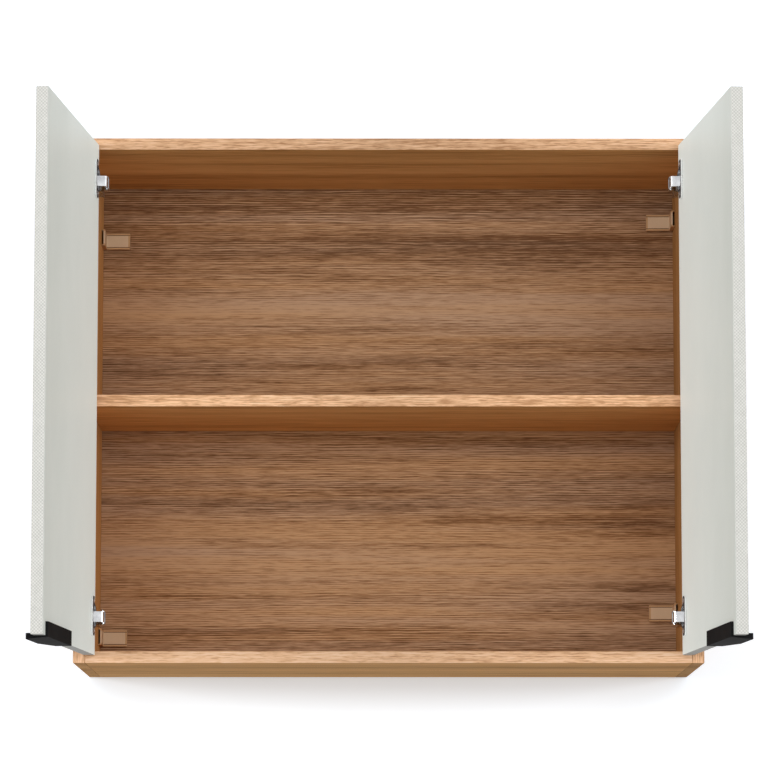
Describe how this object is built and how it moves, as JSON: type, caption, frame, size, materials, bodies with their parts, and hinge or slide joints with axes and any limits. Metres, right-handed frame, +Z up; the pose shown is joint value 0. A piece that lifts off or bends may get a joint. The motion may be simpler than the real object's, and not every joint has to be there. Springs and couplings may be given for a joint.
{
  "type": "wall cabinet",
  "caption": "Wall-hung cabinet box with a fixed shelf and a pair of flat hinged doors on concealed cup hinges, for kitchen or utility storage.",
  "frame": {"origin": "middle of the carcass's underside", "axes": "+Z up, -Y out of the open front, +Y to the wall, +X along the width to the right as seen from the front"},
  "size_m": [0.8578, 0.7019, 0.675],
  "materials": {
    "wood_board": "brown wood-look laminate, satin",
    "wood_back": "brown wood-look hardboard, matt",
    "beech_dowel": "raw beech",
    "tan_plastic": "tan moulded plastic",
    "woven_white": "pale grey-white laminate with a fine woven emboss",
    "black_pull": "black satin",
    "nickel": "nickel plated"
  },
  "bodies": {
    "carcass": {"left_side_panel": "wood_board", "right_side_panel": "wood_board", "top_panel": "wood_board", "bottom_panel": "wood_board", "shelf": "wood_board", "back_panel": "wood_back", "left_front_shelf_dowel": "beech_dowel", "left_rear_shelf_dowel": "beech_dowel", "right_front_shelf_dowel": "beech_dowel", "right_rear_shelf_dowel": "beech_dowel", "left_lower_bracket": "tan_plastic", "left_upper_bracket": "tan_plastic", "right_lower_bracket": "tan_plastic", "right_upper_bracket": "tan_plastic", "left_lower_bracket_cover": "tan_plastic", "left_upper_bracket_cover": "tan_plastic", "right_lower_bracket_cover": "tan_plastic", "right_upper_bracket_cover": "tan_plastic", "left_lower_hinge_arm": "nickel", "left_upper_hinge_arm": "nickel", "right_lower_hinge_arm": "nickel", "right_upper_hinge_arm": "nickel", "left_lower_arm_pin": "nickel", "left_upper_arm_pin": "nickel", "right_lower_arm_pin": "nickel", "right_upper_arm_pin": "nickel", "left_lower_mounting_plate": "nickel", "left_upper_mounting_plate": "nickel", "right_lower_mounting_plate": "nickel", "right_upper_mounting_plate": "nickel"},
    "left_links": {"left_lower_hinge_link": "nickel", "left_upper_hinge_link": "nickel"},
    "left_door": {"left_door_panel": "woven_white", "left_corner_pull": "black_pull", "left_lower_hinge_cup": "nickel", "left_upper_hinge_cup": "nickel", "left_lower_cup_pin": "nickel", "left_upper_cup_pin": "nickel"},
    "right_links": {"right_lower_hinge_link": "nickel", "right_upper_hinge_link": "nickel"},
    "right_door": {"right_door_panel": "woven_white", "right_corner_pull": "black_pull", "right_lower_hinge_cup": "nickel", "right_upper_hinge_cup": "nickel", "right_lower_cup_pin": "nickel", "right_upper_cup_pin": "nickel"}
  },
  "joints": [
    {"name": "left_link_swing", "type": "hinge", "parent": "carcass", "child": "left_links", "pos_m": [-0.363, -0.151, 0.3375], "axis": [0, 0, 1], "range_deg": [-22.69, 0]},
    {"name": "left_door_swing", "type": "hinge", "parent": "left_links", "child": "left_door", "pos_m": [-0.37576, -0.16826, 0.3375], "axis": [0, 0, 1], "range_deg": [0, 117.89]},
    {"name": "right_link_swing", "type": "hinge", "parent": "carcass", "child": "right_links", "pos_m": [0.363, -0.151, 0.3375], "axis": [0, 0, -1], "range_deg": [-22.69, 0]},
    {"name": "right_door_swing", "type": "hinge", "parent": "right_links", "child": "right_door", "pos_m": [0.37576, -0.16826, 0.3375], "axis": [0, 0, -1], "range_deg": [0, 117.89]}
  ],
  "couplings": [
    {"joint": "left_link_swing", "follows": "left_door_swing", "ratio": -0.19246},
    {"joint": "right_link_swing", "follows": "right_door_swing", "ratio": -0.19246}
  ]
}
